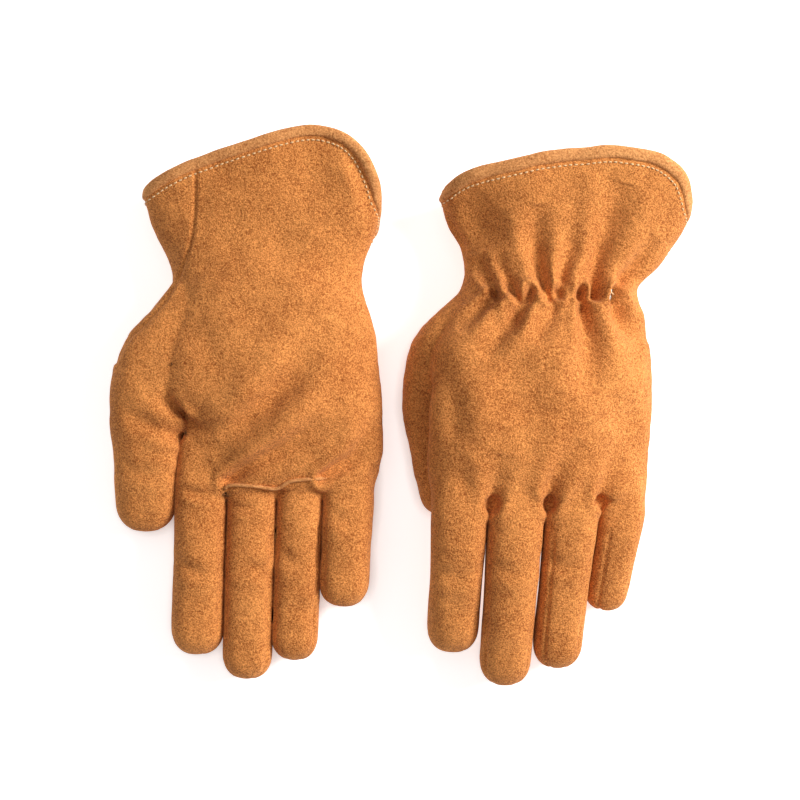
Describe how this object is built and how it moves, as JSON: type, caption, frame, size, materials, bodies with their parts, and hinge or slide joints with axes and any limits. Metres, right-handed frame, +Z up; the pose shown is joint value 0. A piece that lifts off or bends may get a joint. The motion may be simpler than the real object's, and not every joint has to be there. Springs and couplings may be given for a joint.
{
  "type": "work gloves",
  "caption": "Pair of slip-on suede leather work gloves, one lying palm up and one back up, with open gathered cuffs, sewn fingers that flex and a thumb that swings out.",
  "frame": {"origin": "centre of the pair's footprint, on the surface that both gloves lie on", "axes": "+Z up; +Y from the fingertips to the cuffs; +X from the palm-up right glove to the back-up left glove"},
  "size_m": [0.2668, 0.2564, 0.0468],
  "materials": {
    "suede": "golden tan split cowhide with a short raised nap",
    "edge_leather": "folded suede edge, paler along the cut",
    "thread": "twisted cream sewing thread",
    "elastic": "woven off-white elastic tape"
  },
  "bodies": {
    "right_hand": {"right_back_panel": "suede", "right_palm_panel": "suede", "right_crotch_gussets": "suede", "right_hem_binding": "edge_leather", "right_hem_thread": "thread", "right_gather_thread": "thread", "right_wrist_elastic": "elastic", "right_palm_welt": "edge_leather"},
    "right_index": {"right_index_back": "suede", "right_index_front": "suede", "right_index_fourchette": "suede"},
    "right_middle": {"right_middle_back": "suede", "right_middle_front": "suede", "right_middle_fourchettes": "suede"},
    "right_ring": {"right_ring_back": "suede", "right_ring_front": "suede", "right_ring_fourchettes": "suede"},
    "right_little": {"right_little_back": "suede", "right_little_front": "suede", "right_little_fourchette": "suede"},
    "right_thumb": {"right_thumb_back": "suede", "right_thumb_front": "suede"},
    "left_hand": {"left_back_panel": "suede", "left_palm_panel": "suede", "left_crotch_gussets": "suede", "left_hem_binding": "edge_leather", "left_hem_thread": "thread", "left_gather_thread": "thread", "left_wrist_elastic": "elastic", "left_palm_welt": "edge_leather"},
    "left_index": {"left_index_back": "suede", "left_index_front": "suede", "left_index_fourchette": "suede"},
    "left_middle": {"left_middle_back": "suede", "left_middle_front": "suede", "left_middle_fourchettes": "suede"},
    "left_ring": {"left_ring_back": "suede", "left_ring_front": "suede", "left_ring_fourchettes": "suede"},
    "left_little": {"left_little_back": "suede", "left_little_front": "suede", "left_little_fourchette": "suede"},
    "left_thumb": {"left_thumb_back": "suede", "left_thumb_front": "suede"}
  },
  "joints": [
    {"name": "left_lift", "type": "slide", "parent": "right_hand", "child": "left_hand", "axis": [0, 0, 1], "range_m": [0, 0.15]},
    {"name": "right_index_flex", "type": "hinge", "parent": "right_hand", "child": "right_index", "pos_m": [-0.094, -0.04406, 0.0168], "axis": [-0.9999, 0.0171, 0], "range_deg": [0, 65]},
    {"name": "right_middle_flex", "type": "hinge", "parent": "right_hand", "child": "right_middle", "pos_m": [-0.0699, -0.04404, 0.01582], "axis": [-0.9998, 0.022, 0], "range_deg": [0, 65]},
    {"name": "right_ring_flex", "type": "hinge", "parent": "right_hand", "child": "right_ring", "pos_m": [-0.0472, -0.04404, 0.01484], "axis": [-0.9995, 0.0329, 0], "range_deg": [0, 65]},
    {"name": "right_little_flex", "type": "hinge", "parent": "right_hand", "child": "right_little", "pos_m": [-0.0248, -0.04407, 0.0154], "axis": [-0.9984, 0.0562, 0], "range_deg": [0, 65]},
    {"name": "right_thumb_swing", "type": "hinge", "parent": "right_hand", "child": "right_thumb", "pos_m": [-0.12572, 0.003, 0.0128], "axis": [0, 0, -1], "range_deg": [0, 35]},
    {"name": "left_index_flex", "type": "hinge", "parent": "left_hand", "child": "left_index", "pos_m": [0.02656, -0.04678, 0.02328], "axis": [0.9989, -0.0465, 0], "range_deg": [0, 65]},
    {"name": "left_middle_flex", "type": "hinge", "parent": "left_hand", "child": "left_middle", "pos_m": [0.05295, -0.04709, 0.0217], "axis": [0.9982, -0.0599, 0], "range_deg": [0, 65]},
    {"name": "left_ring_flex", "type": "hinge", "parent": "left_hand", "child": "left_ring", "pos_m": [0.07857, -0.04723, 0.01851], "axis": [0.9961, -0.0882, 0], "range_deg": [0, 65]},
    {"name": "left_little_flex", "type": "hinge", "parent": "left_hand", "child": "left_little", "pos_m": [0.10203, -0.04718, 0.01509], "axis": [0.9883, -0.1524, 0], "range_deg": [0, 65]},
    {"name": "left_thumb_swing", "type": "hinge", "parent": "left_hand", "child": "left_thumb", "pos_m": [0.00716, 0.001, 0.0111], "axis": [0, 0, -1], "range_deg": [0, 15]}
  ]
}
